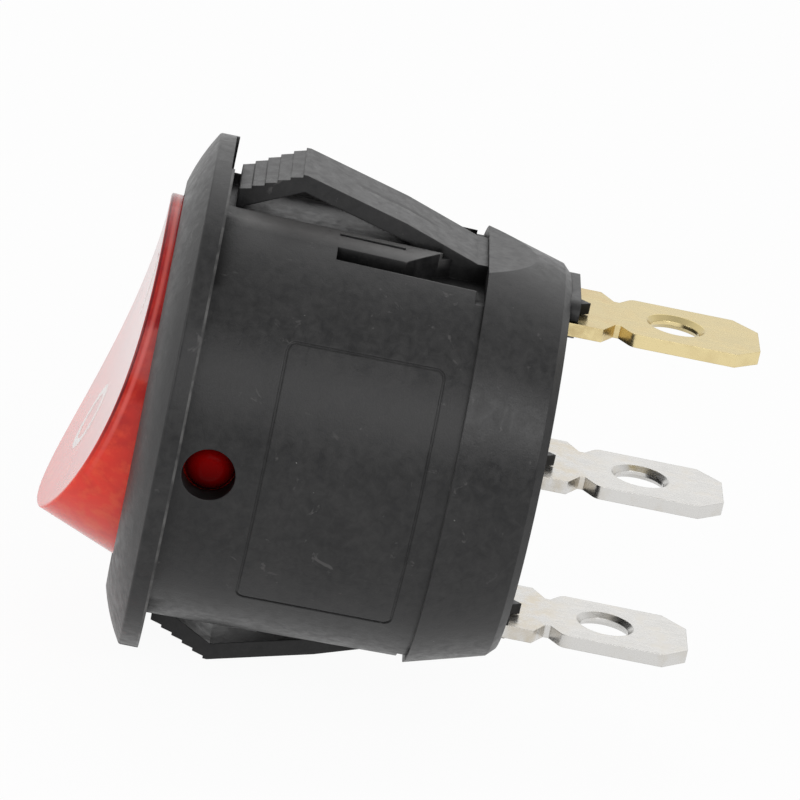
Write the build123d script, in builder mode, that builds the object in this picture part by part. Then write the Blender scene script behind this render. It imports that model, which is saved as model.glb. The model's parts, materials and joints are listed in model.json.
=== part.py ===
from build123d import *

import os
from math import cos, radians, sin, tan

os.makedirs("parts", exist_ok=True)

# Round illuminated rocker switch for a panel hole. Lengths are in millimetres.
# The switch axis is Y: the rocker faces -Y and the tabs point to +Y. The rocker turns
# about X, and the lamp tab is at +Z. The origin is at the centre of the bezel's back,
# on the face of the panel. The rocker is drawn at rest, with its lower end out.

# Bezel, barrel and the round well in it
bezel_overhang = 1.6
bezel_rim = 0.85
bezel_height = 1.9
bezel_land = 0.3
bezel_dome = 0.1
rim_round = 0.15
barrel_dia = 19.8
barrel_length = 11.6
barrel_draft = 1.2
barrel_wall = 1.25
mouth_lead = 0.15
well_gap = 0.26

# Block behind the barrel
block_step = 0.2
block_taper = 15.6
block_length = 3.5
back_edge = 0.35
flat_depth = 0.6
floor_thickness = 1.55

# Rocker
rocker_tilt = 12.5
pivot_y = 1.4
skirt_gap = 0.5
skirt_depth = 1.2
rocker_wall = 1.2
waist_h = 1.7
side_draft = 9.46
face_scoop = 30.0
face_valley = 4.68
face_thickness = 1.28
face_round = 0.12
blank_allowance = 2.0
pin_dia = 2.2
pin_clearance = 0.05
pin_recess = 0.6
pin_round = 0.8
pin_root = 0.2

# Stem, plunger and the spring between them
stem_wall = 0.78
stem_length = 5.6
stem_slot = 0.6
plunger_dia = 2.5
plunger_clearance = 0.07
plunger_body = 5.75
plunger_pilot_dia = 1.1
plunger_pilot = 0.7
plunger_wire = 0.3
plunger_turns = 6
nose_gap = 0.14

# Tabs and the blades that they grow from
tab_inset = 2.7
tab_width = 4.75
tab_thickness = 0.6
tab_length = 5.7
tab_tip_bevel = 1.1
tab_shoulder_round = 0.45
tab_hole_dia = 2.2
tab_hole_bevel = 0.22
tab_hole_offset = 1.95
root_width = 5.2
root_length = 1.15
neck_width = 3.2
neck_length = 1.35
neck_flare = 0.55
shoulder_width = 6.4
shoulder_length = 1.4
seat_gap = 0.02
blade_clearance = 0.04
bend_radius = 0.3
foot_width = 5.0
foot_margin = 1.2

# Bosses above and below the blades on the back
boss_inset = 0.1
boss_lip = 0.85
boss_ledge = 0.3
boss_height = 0.45
boss_round = 0.7
nub_offset = 1.0
nub_width = 0.8
nub_reach = 0.5
nub_thickness = 0.5

# Seesaw contact on the edge of the middle blade
fulcrum_height = 3.1
fulcrum_gap = 0.05
bar_thickness = 0.4
bar_width = 4.4
bar_wing = 10.0
bar_swing = 8.0
long_arm_gap = 0.9
short_arm_gap = 0.6
bar_corner = 0.6
ear_gap = 0.3
ear_width = 0.7
ear_reach = 1.4

# Contact rivets
rivet_inset = 1.15
rivet_head_dia = 2.0
rivet_head = 0.45
rivet_crown = 0.12
rivet_shank_dia = 1.0
rivet_tail_dia = 1.5
rivet_tail = 0.2
rivet_clearance = 0.02
contact_gap = 0.08

# Lamp, resistor, their cradles and wires
lamp_dia = 2.6
lamp_tip_round = 1.0
lamp_tip_gap = 0.3
lamp_pinch = 1.0
lamp_pinch_thickness = 1.2
lamp_pinch_inset = 0.15
lamp_pinch_round = 0.35
lamp_glass = 0.25
lamp_stem_gap = 0.3
lamp_roof_gap = 0.1
electrode_spread = 0.5
electrode_dia = 0.6
electrode_tip_gap = 0.9
wire_dia = 0.4
wire_wall_gap = 0.2
wire_clearance = 0.03
wire_bend = 0.45
resistor_dia = 1.7
resistor_length = 3.6
resistor_waist = 0.1
resistor_cap = 0.8
resistor_edge = 0.25
resistor_stem_gap = 1.05
cradle_gap = 0.05
cradle_wall = 0.55
cradle_thickness = 0.7
cradle_grip = 0.6
cradle_mouth = 0.85
lamp_cradle_inset = 0.9
resistor_cradle_inset = 0.8
lead_run = 0.75
link_run = 0.65
tail_run = 0.9
sleeve_wall = 0.2
sleeve_length = 5.0

# Spring between the lamp tab and the lamp lead
lamp_foot_height = 1.8
lamp_spring_wire = 0.25
lamp_spring_dia = 2.0
lamp_spring_turns = 9
spring_side_gap = 0.55
shelf_width = 2.8
shelf_thickness = 0.65
shelf_reach = 0.8
lamp_foot_margin = 0.3
pip_dia = 1.3
pip_height = 0.5
spring_end_gap = 0.03

# Latches, and the pockets that they fold into
latch_width = 4.1
latch_side_gap = 0.35
nose_y = 0.35
nose_lift = 0.23
nose_thickness = 0.92
nose_narrowing = 0.25
step_count = 5
step_pitch = 0.52
step_rise = 0.25
tread_angle = 14.0
apex_land = 0.2
strap_thickness = 0.73
strap_angle = 15.0
strap_bend = 4.6
strap_root_angle = 19.0
pocket_wall = 0.45
cavity_gap = 0.05
cavity_side_gap = 1.1
cut_margin = 1.0
seat_relief = 0.15
slit_start_wall = 0.4
slit_inset = 1.2
slit_width = 0.73
slit_depth = 0.85
slit_flare_length = 3.6
slit_corner_length = 1.6
slit_end_reach = 0.8
slit_end_width = 0.4
fine_slit_inset = 0.25
fine_slit_width = 0.15
fine_slit_depth = 0.2
fine_slit_end_gap = 3.7

# Bare outline sunk in the right side of the barrel
outline_start = 3.58
outline_end_gap = 1.12
outline_half_angle = 37.0
outline_corner = 0.4
outline_width = 0.11
outline_depth = 0.05

# Sizes of the housing that follow from the ones above
barrel_r = barrel_dia / 2
bezel_r = barrel_r + bezel_overhang
draft = tan(radians(barrel_draft))
well_r = barrel_r - barrel_wall
mouth_r = well_r + mouth_lead
block_r = barrel_r - barrel_length * draft + block_step
taper_end_y = barrel_length + block_length
taper_end_r = block_r - block_length * tan(radians(block_taper))
back_y = taper_end_y + back_edge
floor_y = back_y - floor_thickness
block_flat = block_r - flat_depth
boss_y = back_y + boss_height
tab_pitch = barrel_r - tab_inset
cavity_half_h = tab_pitch + tab_thickness / 2 + cavity_gap
cavity_half_w = bar_width / 2 + ear_gap + ear_width + cavity_side_gap
latch_half = latch_width / 2
pocket_half = latch_half + latch_side_gap
pocket_floor = well_r + pocket_wall
nose_z = pocket_floor + nose_lift + nose_thickness
tread_rise = step_pitch * tan(radians(tread_angle))
apex_y = nose_y + step_count * step_pitch + apex_land
apex_z = nose_z + step_count * step_rise
bend_y = apex_y + strap_bend
bend_z = apex_z - strap_bend * tan(radians(strap_angle))
strap_end_z = bend_z - (barrel_length - bend_y) * tan(radians(strap_root_angle))
strap_drop = strap_thickness / cos(radians(strap_angle))
slit_x = pocket_half + slit_inset
slit_far_x = slit_x + slit_width
slit_end_x = slit_far_x + slit_end_reach
slit_end_y = barrel_length - slit_end_width
slit_floor = pocket_floor - slit_depth
fine_slit_x = pocket_half + fine_slit_inset
fine_slit_floor = pocket_floor - fine_slit_depth
outline_length = barrel_length - outline_start - outline_end_gap
outline_height = 2 * barrel_r * sin(radians(outline_half_angle))

# Sizes of the rocker, in its own tilted frame: h is the height above the pivot
tilt_sin = sin(radians(rocker_tilt))
tilt_cos = cos(radians(rocker_tilt))
skirt_r = well_r - skirt_gap
side_slope = tan(radians(side_draft))
blank_h = face_valley + blank_allowance
blank_r = skirt_r - (blank_h - waist_h) * side_slope
inner_r = skirt_r - rocker_wall
roof_h = face_valley - face_thickness
well_depth = pivot_y + skirt_r * tilt_sin + skirt_depth * tilt_cos + well_gap
pin_r = pin_dia / 2
hole_r = pin_r + pin_clearance
pin_end = barrel_r - pin_recess
slit_y = well_depth + slit_start_wall
wire_r = wire_dia / 2
plunger_r = plunger_dia / 2
stem_bore_r = plunger_r + plunger_clearance
stem_r = stem_bore_r + stem_wall
lamp_r = lamp_dia / 2
lamp_y = stem_r + lamp_stem_gap + lamp_r
lamp_h = roof_h - lamp_roof_gap - lamp_r
resistor_y = -stem_r - resistor_stem_gap - resistor_dia / 2
stem_top = lamp_h + wire_r + cradle_gap
spring_seat_y = inner_r - spring_side_gap - lamp_spring_dia / 2
shelf_h = lamp_h - lamp_r

# Places along the lamp: its wires turn down near the skirt, and its tip lies near the other side
lead_y = lamp_y + electrode_spread
link_y = lamp_y - electrode_spread
link_x = (inner_r**2 - lead_y**2) ** 0.5 - wire_wall_gap - wire_r
lead_x = link_x - link_run
pinch_end_x = lead_x - lead_run
bulb_end_x = pinch_end_x - lamp_pinch
bulb_tip_x = lamp_tip_gap - (inner_r**2 - (lamp_y + lamp_r) ** 2) ** 0.5

rocker_origin = (0, pivot_y, 0)
rocker_plane = Plane(origin=rocker_origin, x_dir=(1, 0, 0), z_dir=(0, -tilt_cos, tilt_sin))
rocker_section = Plane(origin=rocker_origin, x_dir=(1, 0, 0), z_dir=(0, -tilt_sin, -tilt_cos))
rocker_side = Plane(origin=rocker_origin, x_dir=(0, tilt_sin, tilt_cos), z_dir=(1, 0, 0))
rocker_axis = Axis(rocker_origin, (0, -tilt_cos, tilt_sin))

# Sizes of the contact bar: at rest it is swung onto the fixed contact
wing_sin = sin(radians(bar_wing))
wing_cos = cos(radians(bar_wing))
swing_sin = sin(radians(bar_swing))
swing_cos = cos(radians(bar_swing))
fulcrum_r = tab_thickness / 2
fulcrum_y = floor_y - fulcrum_height
bar_back = fulcrum_r + fulcrum_gap
bar_front = bar_back + bar_thickness / wing_cos
nose_h = fulcrum_y - bar_front - nose_gap - plunger_r - pivot_y
spring_z = spring_seat_y * tilt_cos
long_arm = tab_pitch - long_arm_gap
short_arm = spring_z - lamp_spring_dia / 2 - short_arm_gap
rivet_along = long_arm - rivet_inset


def bar_point(along, out):
    """Place, at rest, of a point of the long arm: along it, and out from its back."""
    u = -bar_back - along * wing_sin + out * wing_cos
    v = -along * wing_cos - out * wing_sin
    return (0, fulcrum_y + u * swing_cos - v * swing_sin, u * swing_sin + v * swing_cos)


contact_face = bar_point(rivet_along, rivet_head)
contact_z = contact_face[2]
face_tilt = radians(bar_wing - bar_swing)
fixed_face_y = contact_face[1] + rivet_head_dia / 2 * abs(sin(face_tilt)) + contact_gap
supply_foot_y = fixed_face_y + rivet_head
lamp_foot_y = floor_y - lamp_foot_height


# Housing: bezel, barrel, block, bosses and both latches are one moulding

with BuildPart() as label_groove:
    with BuildSketch(Plane.YZ):
        with Locations((outline_start + outline_length / 2, 0)):
            RectangleRounded(outline_length, outline_height, outline_corner)
            RectangleRounded(
                outline_length - 2 * outline_width,
                outline_height - 2 * outline_width,
                outline_corner - outline_width,
                mode=Mode.SUBTRACT,
            )
    extrude(amount=bezel_r)
    with BuildSketch(Plane.XY):
        with BuildLine():
            Polyline(
                (barrel_r - outline_depth, 0),
                (bezel_r, 0),
                (bezel_r, barrel_length),
                (barrel_r - barrel_length * draft - outline_depth, barrel_length),
                close=True,
            )
        make_face()
    revolve(axis=Axis.Y, mode=Mode.INTERSECT)

with BuildPart() as latch:
    # Nose with sloping steps, then a strap that bends down to its root
    with BuildSketch(Plane.YZ):
        nose = [(nose_y, nose_z - nose_thickness)]
        for step in range(step_count):
            y = nose_y + step * step_pitch
            z = nose_z + step * step_rise
            nose.append((y, z))
            nose.append((y + step_pitch, z + tread_rise))
        with BuildLine():
            Polyline(
                *nose,
                (apex_y - apex_land, apex_z),
                (apex_y, apex_z),
                (bend_y, bend_z),
                (barrel_length, strap_end_z),
                (barrel_length, strap_end_z - strap_drop),
                (bend_y, bend_z - strap_drop),
                (apex_y, apex_z - strap_drop),
                close=True,
            )
        make_face()
    extrude(amount=latch_half, both=True)
    # The nose narrows to its tip
    with BuildSketch(Plane.XY):
        with BuildLine():
            Polyline(
                (latch_half - nose_narrowing, nose_y),
                (latch_half, apex_y),
                (latch_half, barrel_length),
                (-latch_half, barrel_length),
                (-latch_half, apex_y),
                (nose_narrowing - latch_half, nose_y),
                close=True,
            )
        make_face()
    extrude(amount=bezel_r + cut_margin, mode=Mode.INTERSECT)

with BuildPart() as housing:
    with BuildSketch(Plane.XY):
        with BuildLine():
            land = (mouth_r + bezel_land, -bezel_height)
            rim = (bezel_r, -bezel_rim)
            Line((0, -bezel_height), land)
            SagittaArc(land, rim, -bezel_dome)
            Polyline(
                rim,
                (bezel_r, 0),
                (barrel_r, 0),
                (barrel_r - barrel_length * draft, barrel_length),
                (block_r, barrel_length),
                (taper_end_r, taper_end_y),
                (taper_end_r - back_edge, back_y),
                (0, back_y),
                (0, -bezel_height),
            )
        make_face()
        fillet(vertices().sort_by(Axis.X)[-2:].sort_by(Axis.Y)[0], rim_round)
    revolve(axis=Axis.Y)

    # Flats above and below the block
    with BuildSketch(Plane.XZ.offset(-barrel_length)):
        for side in (1, -1):
            with Locations((0, side * (block_flat + block_r) / 2)):
                Rectangle(2 * block_r, block_r - block_flat)
    extrude(amount=-block_length, mode=Mode.SUBTRACT)

    # Round well for the rocker, then the square one for the contacts
    with BuildSketch(Plane.XY):
        with BuildLine():
            Polyline(
                (0, -bezel_height),
                (mouth_r, -bezel_height),
                (well_r, mouth_lead - bezel_height),
                (well_r, well_depth),
                (0, well_depth),
                close=True,
            )
        make_face()
    revolve(axis=Axis.Y, mode=Mode.SUBTRACT)
    with BuildSketch(Plane.XZ.offset(-floor_y)):
        Rectangle(2 * cavity_half_w, 2 * cavity_half_h)
    extrude(amount=floor_y - well_depth, mode=Mode.SUBTRACT)

    # Holes that the rocker's pins snap into
    with BuildSketch(Plane.YZ):
        with Locations((pivot_y, 0)):
            Circle(hole_r)
    extrude(amount=bezel_r, both=True, mode=Mode.SUBTRACT)

    # Pockets that the latches fold into, as far as the block
    outer = bezel_r + cut_margin
    for side in (1, -1):
        with BuildSketch(Plane.XZ.offset(-barrel_length)):
            with Locations((0, side * (pocket_floor + outer) / 2)):
                Rectangle(2 * pocket_half, outer - pocket_floor)
        extrude(amount=barrel_length + seat_relief, mode=Mode.SUBTRACT)

    # Slits beside the pockets: they widen at the strap's root and turn out along the block
    for side in (1, -1):
        with BuildSketch(Plane.XY.offset(side * slit_floor)):
            for hand in (1, -1):
                with BuildLine():
                    Polyline(
                        (hand * slit_x, slit_y),
                        (hand * slit_far_x, slit_y),
                        (hand * slit_far_x, slit_end_y),
                        (hand * slit_end_x, slit_end_y),
                        (hand * slit_end_x, barrel_length),
                        (hand * latch_half, barrel_length),
                        (hand * latch_half, barrel_length - slit_corner_length),
                        (hand * slit_x, barrel_length - slit_flare_length),
                        close=True,
                    )
                make_face()
        extrude(amount=side * (outer - slit_floor), mode=Mode.SUBTRACT)
        with BuildSketch(Plane.XY.offset(side * fine_slit_floor)):
            fine_slit_length = barrel_length - fine_slit_end_gap - slit_y
            for hand in (1, -1):
                with Locations((
                    hand * (fine_slit_x + fine_slit_width / 2), slit_y + fine_slit_length / 2,
                )):
                    Rectangle(fine_slit_width, fine_slit_length)
        extrude(amount=side * (outer - fine_slit_floor), mode=Mode.SUBTRACT)

    add(latch.part)
    mirror(latch.part, about=Plane.XY)

    # Bosses that grip the blades and leave their edges bare, each with a small pointed nub
    for z in (-tab_pitch, 0, tab_pitch):
        with BuildSketch(Plane.XZ.offset(-boss_y)):
            with Locations((0, z + (boss_lip - boss_ledge) / 2)):
                RectangleRounded(
                    root_width - 2 * boss_inset,
                    tab_thickness + boss_lip + boss_ledge,
                    boss_round,
                )
        extrude(amount=boss_height + back_edge)
        with BuildSketch(Plane.XY.offset(z + tab_thickness / 2 + blade_clearance)):
            with BuildLine():
                Polyline(
                    (nub_offset - nub_width / 2, back_y),
                    (nub_offset + nub_width / 2, back_y),
                    (nub_offset + nub_width / 2, boss_y),
                    (nub_offset, boss_y + nub_reach),
                    (nub_offset - nub_width / 2, boss_y),
                    close=True,
                )
            make_face()
        extrude(amount=nub_thickness)
        with BuildSketch(Plane.XZ.offset(-boss_y - nub_reach)):
            with Locations((0, z)):
                Rectangle(root_width + 2 * blade_clearance, tab_thickness + 2 * blade_clearance)
        extrude(amount=boss_y + nub_reach - floor_y, mode=Mode.SUBTRACT)

    add(label_groove.part, mode=Mode.SUBTRACT)

housing.part.label = "housing"
export_step(housing.part, "parts/housing.step")


# Rocker: one translucent moulding with its pins, stem, cradles and spring shelf

with BuildPart() as rocker:
    with BuildSketch(rocker_section):
        with BuildLine():
            Polyline(
                (0, -skirt_depth),
                (skirt_r, -skirt_depth),
                (skirt_r, waist_h),
                (blank_r, blank_h),
                (0, blank_h),
                close=True,
            )
        make_face()
    revolve(axis=rocker_axis)
    with BuildSketch(rocker_side):
        with Locations((0, face_valley + face_scoop)):
            Circle(face_scoop)
    extrude(amount=skirt_r, both=True, mode=Mode.SUBTRACT)
    fillet(edges().filter_by(GeomType.BSPLINE), face_round)
    with BuildSketch(rocker_plane.offset(-skirt_depth)):
        Circle(inner_r)
    extrude(amount=skirt_depth + roof_h, mode=Mode.SUBTRACT)

    # Pins, with rounded ends that snap past the wall
    for side in (1, -1):
        with BuildSketch(Plane(origin=rocker_origin, z_dir=(side, 0, 0)).offset(inner_r + pin_root)):
            Circle(pin_r)
        extrude(amount=pin_end - inner_r - pin_root)
    fillet(edges().filter_by(GeomType.CIRCLE).group_by(Axis.X)[0], pin_round)
    fillet(edges().filter_by(GeomType.CIRCLE).group_by(Axis.X)[-1], pin_round)

    # Stem with the plunger's bore, slotted at one side for the resistor lead
    with BuildSketch(rocker_plane.offset(-stem_length)):
        Circle(stem_r)
    extrude(amount=stem_length + roof_h)
    with BuildSketch(rocker_plane.offset(-stem_length)):
        Circle(stem_bore_r)
        with Locations((-stem_r / 2, 0)):
            Rectangle(stem_r, stem_slot)
    extrude(amount=stem_length + stem_top, mode=Mode.SUBTRACT)

    # Cradle ribs that grip the lamp and the resistor, open to the back
    resistor_rib = resistor_length / 2 - resistor_cradle_inset
    cradles = (
        (lamp_y, lamp_r + cradle_gap, bulb_tip_x + lamp_cradle_inset),
        (lamp_y, lamp_r + cradle_gap, bulb_end_x - lamp_cradle_inset),
        (resistor_y, resistor_dia / 2 + cradle_gap, -resistor_rib),
        (resistor_y, resistor_dia / 2 + cradle_gap, resistor_rib),
    )
    for seat_y, seat_r, rib_x in cradles:
        rib_end = lamp_h - seat_r * cradle_grip
        with BuildSketch(rocker_side.offset(rib_x - cradle_thickness / 2)):
            with Locations((seat_y, (roof_h + rib_end) / 2)):
                Rectangle(2 * (seat_r + cradle_wall), roof_h - rib_end)
            with Locations((seat_y, lamp_h)):
                Circle(seat_r, mode=Mode.SUBTRACT)
            with Locations((seat_y, lamp_h - seat_r / 2)):
                Rectangle(2 * seat_r * cradle_mouth, seat_r, mode=Mode.SUBTRACT)
        extrude(amount=cradle_thickness)

    # Shelf that the lamp lead rests against
    with BuildSketch(rocker_plane.offset(shelf_h)):
        with Locations((0, (spring_seat_y - shelf_reach + inner_r) / 2)):
            Rectangle(shelf_width, inner_r - spring_seat_y + shelf_reach)
    extrude(amount=-shelf_thickness)

rocker.part.label = "rocker"
export_step(rocker.part, "parts/rocker.step")


# Terminals: flat blades with a tab outside, each with its own end inside the well

tab_shoulder_y = boss_y + root_length + neck_length
tab_tip_y = tab_shoulder_y + tab_length


def blade_plan(z, inner_y):
    """Plan of a blade at height z, from inner_y in the well to the tip of its tab."""
    right_side = [
        (root_width / 2, inner_y),
        (root_width / 2, boss_y + root_length),
        (neck_width / 2, boss_y + root_length + neck_flare),
        (neck_width / 2, tab_shoulder_y - neck_flare),
        (tab_width / 2, tab_shoulder_y),
        (tab_width / 2, tab_tip_y - tab_tip_bevel),
        (tab_width / 2 - tab_tip_bevel, tab_tip_y),
    ]
    left_side = [(-x, y) for x, y in reversed(right_side)]
    with BuildSketch(Plane.XY.offset(z - tab_thickness / 2)) as plan:
        with BuildLine():
            Polyline(*right_side, *left_side, close=True)
        make_face()
        corners = plan.vertices().filter_by(lambda v: abs(v.Y - tab_shoulder_y) < 0.001)
        fillet(corners, tab_shoulder_round)
        with Locations((0, floor_y - seat_gap - shoulder_length / 2)):
            Rectangle(shoulder_width, shoulder_length)
        with Locations((0, tab_shoulder_y + tab_hole_offset)):
            Circle(tab_hole_dia / 2, mode=Mode.SUBTRACT)
    return plan.sketch


def foot_profile(side, front_y, foot_end):
    """Section of a blade's foot, bent from height side * tab_pitch towards the middle."""
    outer_z = side * (tab_pitch + tab_thickness / 2)
    inner_z = side * (tab_pitch - tab_thickness / 2)
    back = front_y + tab_thickness
    leg_end = back + bend_radius + seat_gap
    with BuildSketch(Plane.YZ) as profile:
        with BuildLine():
            Polyline(
                (front_y, outer_z),
                (front_y, side * foot_end),
                (back, side * foot_end),
                (back, inner_z),
                (leg_end, inner_z),
                (leg_end, outer_z),
                close=True,
            )
        make_face()
        bend_outside = profile.vertices().sort_by_distance((front_y, outer_z, 0))[0]
        fillet(bend_outside, bend_radius + tab_thickness)
        bend_inside = profile.vertices().sort_by_distance((back, inner_z, 0))[0]
        fillet(bend_inside, bend_radius)
    return profile.sketch


def is_tab_hole(edge):
    """True for the two round edges of a tab's hole."""
    return edge.geom_type == GeomType.CIRCLE and abs(edge.radius - tab_hole_dia / 2) < 0.001


with BuildPart() as supply_terminal:
    extrude(blade_plan(-tab_pitch, supply_foot_y + tab_thickness + bend_radius), tab_thickness)
    extrude(
        foot_profile(-1, supply_foot_y, -contact_z - foot_margin),
        amount=foot_width / 2,
        both=True,
    )
    chamfer(edges().filter_by(is_tab_hole), tab_hole_bevel)
    with BuildSketch(Plane.XZ.offset(-supply_foot_y)):
        with Locations((0, contact_z)):
            Circle(rivet_shank_dia / 2 + rivet_clearance)
    extrude(amount=-tab_thickness, mode=Mode.SUBTRACT)

supply_terminal.part.label = "supply_terminal"
export_step(supply_terminal.part, "parts/supply_terminal.step")

with BuildPart() as load_terminal:
    extrude(blade_plan(0, fulcrum_y + tab_thickness), tab_thickness)
    chamfer(edges().filter_by(is_tab_hole), tab_hole_bevel)
    with BuildSketch(Plane.YZ):
        with Locations((fulcrum_y, 0)):
            Circle(fulcrum_r)
        with Locations(((fulcrum_y + floor_y - seat_gap) / 2, 0)):
            Rectangle(floor_y - seat_gap - fulcrum_y, tab_thickness)
    extrude(amount=bar_width / 2 + ear_gap + ear_width, both=True)
    with BuildSketch(Plane.XY.offset(-tab_thickness / 2)):
        for side in (1, -1):
            with Locations((side * (bar_width / 2 + ear_gap + ear_width / 2), fulcrum_y)):
                Rectangle(ear_width, 2 * ear_reach)
    extrude(amount=tab_thickness)

load_terminal.part.label = "load_terminal"
export_step(load_terminal.part, "parts/load_terminal.step")

with BuildPart() as lamp_terminal:
    extrude(blade_plan(tab_pitch, lamp_foot_y + tab_thickness + bend_radius), tab_thickness)
    extrude(
        foot_profile(1, lamp_foot_y, spring_z - lamp_spring_dia / 2 - lamp_foot_margin),
        amount=foot_width / 2,
        both=True,
    )
    chamfer(edges().filter_by(is_tab_hole), tab_hole_bevel)
    with BuildSketch(Plane.XZ.offset(-lamp_foot_y)):
        with Locations((0, spring_z)):
            Circle(pip_dia / 2)
    extrude(amount=pip_height)

lamp_terminal.part.label = "lamp_terminal"
export_step(lamp_terminal.part, "parts/lamp_terminal.step")


# Contacts: a rivet in the supply foot, a seesaw bar, and the rivet in its long arm

def contact_rivet(seat, normal, grip):
    """Rivet with its head on seat, facing along normal, through a plate grip thick."""
    section = Plane(origin=seat, x_dir=(1, 0, 0), z_dir=(0, -normal[2], normal[1]))
    with BuildPart() as rivet:
        with BuildSketch(section):
            with BuildLine():
                Polyline(
                    (0, -grip - rivet_tail),
                    (rivet_tail_dia / 2, -grip - rivet_tail),
                    (rivet_tail_dia / 2, -grip),
                    (rivet_shank_dia / 2, -grip),
                    (rivet_shank_dia / 2, 0),
                    (rivet_head_dia / 2, 0),
                    (rivet_head_dia / 2, rivet_head - rivet_crown),
                    (rivet_head_dia / 2 - 2 * rivet_crown, rivet_head),
                    (0, rivet_head),
                    close=True,
                )
            make_face()
        revolve(axis=Axis(seat, normal))
    return rivet


fixed_contact = contact_rivet((0, supply_foot_y, contact_z), (0, -1, 0), tab_thickness)
fixed_contact.part.label = "fixed_contact"
export_step(fixed_contact.part, "parts/fixed_contact.step")

bar_side = Plane(
    origin=(0, fulcrum_y, 0), x_dir=(0, swing_cos, swing_sin), z_dir=(1, 0, 0)
)
arm_normal = (0, cos(face_tilt), -sin(face_tilt))

with BuildPart() as contact_bar:
    with BuildSketch(bar_side):
        with BuildLine():
            long_tip = (-bar_back - long_arm * wing_sin, -long_arm * wing_cos)
            short_tip = (-bar_back - short_arm * wing_sin, short_arm * wing_cos)
            across = (bar_thickness * wing_cos, bar_thickness * wing_sin)
            Polyline(
                (-bar_back, 0),
                long_tip,
                (long_tip[0] - across[0], long_tip[1] + across[1]),
                (-bar_front, 0),
                (short_tip[0] - across[0], short_tip[1] - across[1]),
                short_tip,
                close=True,
            )
        make_face()
    extrude(amount=bar_width / 2, both=True)
    fillet(edges().filter_by(lambda e: abs(e.length - bar_thickness) < 0.001), bar_corner)
    with BuildSketch(Plane(origin=bar_point(rivet_along, 0), x_dir=(1, 0, 0), z_dir=arm_normal)):
        Circle(rivet_shank_dia / 2 + rivet_clearance)
    extrude(amount=-bar_thickness, both=True, mode=Mode.SUBTRACT)

contact_bar.part.label = "contact_bar"
export_step(contact_bar.part, "parts/contact_bar.step")

moving_contact = contact_rivet(bar_point(rivet_along, 0), arm_normal, bar_thickness)
moving_contact.part.label = "moving_contact"
export_step(moving_contact.part, "parts/moving_contact.step")


# Plunger, with a round nose on the bar and a pilot inside its spring

plunger_top = plunger_body - nose_h

with BuildPart() as plunger:
    with BuildSketch(rocker_section):
        with BuildLine():
            RadiusArc((0, -nose_h - plunger_r), (plunger_r, -nose_h), -plunger_r)
            Polyline(
                (plunger_r, -nose_h),
                (plunger_r, plunger_top),
                (plunger_pilot_dia / 2, plunger_top),
                (plunger_pilot_dia / 2, plunger_top + plunger_pilot),
                (0, plunger_top + plunger_pilot),
                (0, -nose_h - plunger_r),
            )
        make_face()
    revolve(axis=rocker_axis)

plunger.part.label = "plunger"
export_step(plunger.part, "parts/plunger.step")


def coil(label, foot, head, wire, mean_dia, turns):
    """Round-wire spring that fills the way between two seats, foot and head."""
    line = head - foot
    start = foot + line.normalized() * (wire / 2 + spring_end_gap)
    height = line.length - wire - 2 * spring_end_gap
    with BuildPart() as spring:
        with BuildLine() as turns_line:
            Helix(height / turns, height, mean_dia / 2, center=start, direction=line)
        with BuildSketch(Plane(origin=turns_line.line @ 0, z_dir=turns_line.line % 0)):
            Circle(wire / 2)
        sweep(path=turns_line.line, is_frenet=True)
    spring.part.label = label
    return spring


plunger_spring = coil(
    "plunger_spring",
    rocker_plane.from_local_coords(Vector(0, 0, plunger_top)),
    rocker_plane.from_local_coords(Vector(0, 0, lamp_h - wire_r)),
    plunger_wire,
    2 * (stem_bore_r - plunger_clearance) - plunger_wire,
    plunger_turns,
)
export_step(plunger_spring.part, "parts/plunger_spring.step")

lead_h = shelf_h - shelf_thickness - spring_end_gap - wire_r

lamp_spring = coil(
    "lamp_spring",
    Vector(0, lamp_foot_y, spring_z),
    rocker_plane.from_local_coords(Vector(0, spring_seat_y, lead_h - wire_r)),
    lamp_spring_wire,
    lamp_spring_dia,
    lamp_spring_turns,
)
export_step(lamp_spring.part, "parts/lamp_spring.step")


# Lamp: a glass bulb pinched round its two wires

lamp_axis = rocker_plane.from_local_coords(Vector(0, lamp_y, lamp_h))
lamp_section = Plane(origin=lamp_axis, x_dir=(1, 0, 0), z_dir=rocker_section.z_dir)
lamp_end = Plane(origin=lamp_axis, x_dir=(0, tilt_sin, tilt_cos), z_dir=(1, 0, 0))
lamp_middle_x = (bulb_tip_x + bulb_end_x) / 2

with BuildPart() as lamp_bulb:
    for shell, mode in ((0, Mode.ADD), (lamp_glass, Mode.SUBTRACT)):
        with BuildSketch(lamp_section):
            radius = lamp_r - shell
            with Locations((lamp_middle_x, radius / 2)):
                Rectangle(bulb_end_x - bulb_tip_x - 2 * shell, radius)
            tip = vertices().sort_by_distance((bulb_tip_x, radius, 0))[0]
            fillet(tip, lamp_tip_round - shell)
        revolve(axis=Axis(lamp_axis, (1, 0, 0)), mode=mode)
    with BuildSketch(lamp_end.offset(bulb_end_x)):
        RectangleRounded(lamp_dia - 2 * lamp_pinch_inset, lamp_pinch_thickness, lamp_pinch_round)
    extrude(amount=lamp_pinch)
    with BuildSketch(lamp_end.offset(pinch_end_x)):
        for side in (1, -1):
            with Locations((side * electrode_spread, 0)):
                Circle(wire_r + wire_clearance)
    extrude(amount=-lamp_pinch - 2 * lamp_glass, mode=Mode.SUBTRACT)

lamp_bulb.part.label = "lamp_bulb"
export_step(lamp_bulb.part, "parts/lamp_bulb.step")

electrode_tip_x = bulb_tip_x + lamp_glass + electrode_tip_gap
electrode_end_x = bulb_end_x - 2 * lamp_glass

with BuildPart() as lamp_electrodes:
    with BuildSketch(lamp_end.offset(electrode_tip_x)):
        for side in (1, -1):
            with Locations((side * electrode_spread, 0)):
                Circle(electrode_dia / 2)
    extrude(amount=electrode_end_x - electrode_tip_x)

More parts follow.
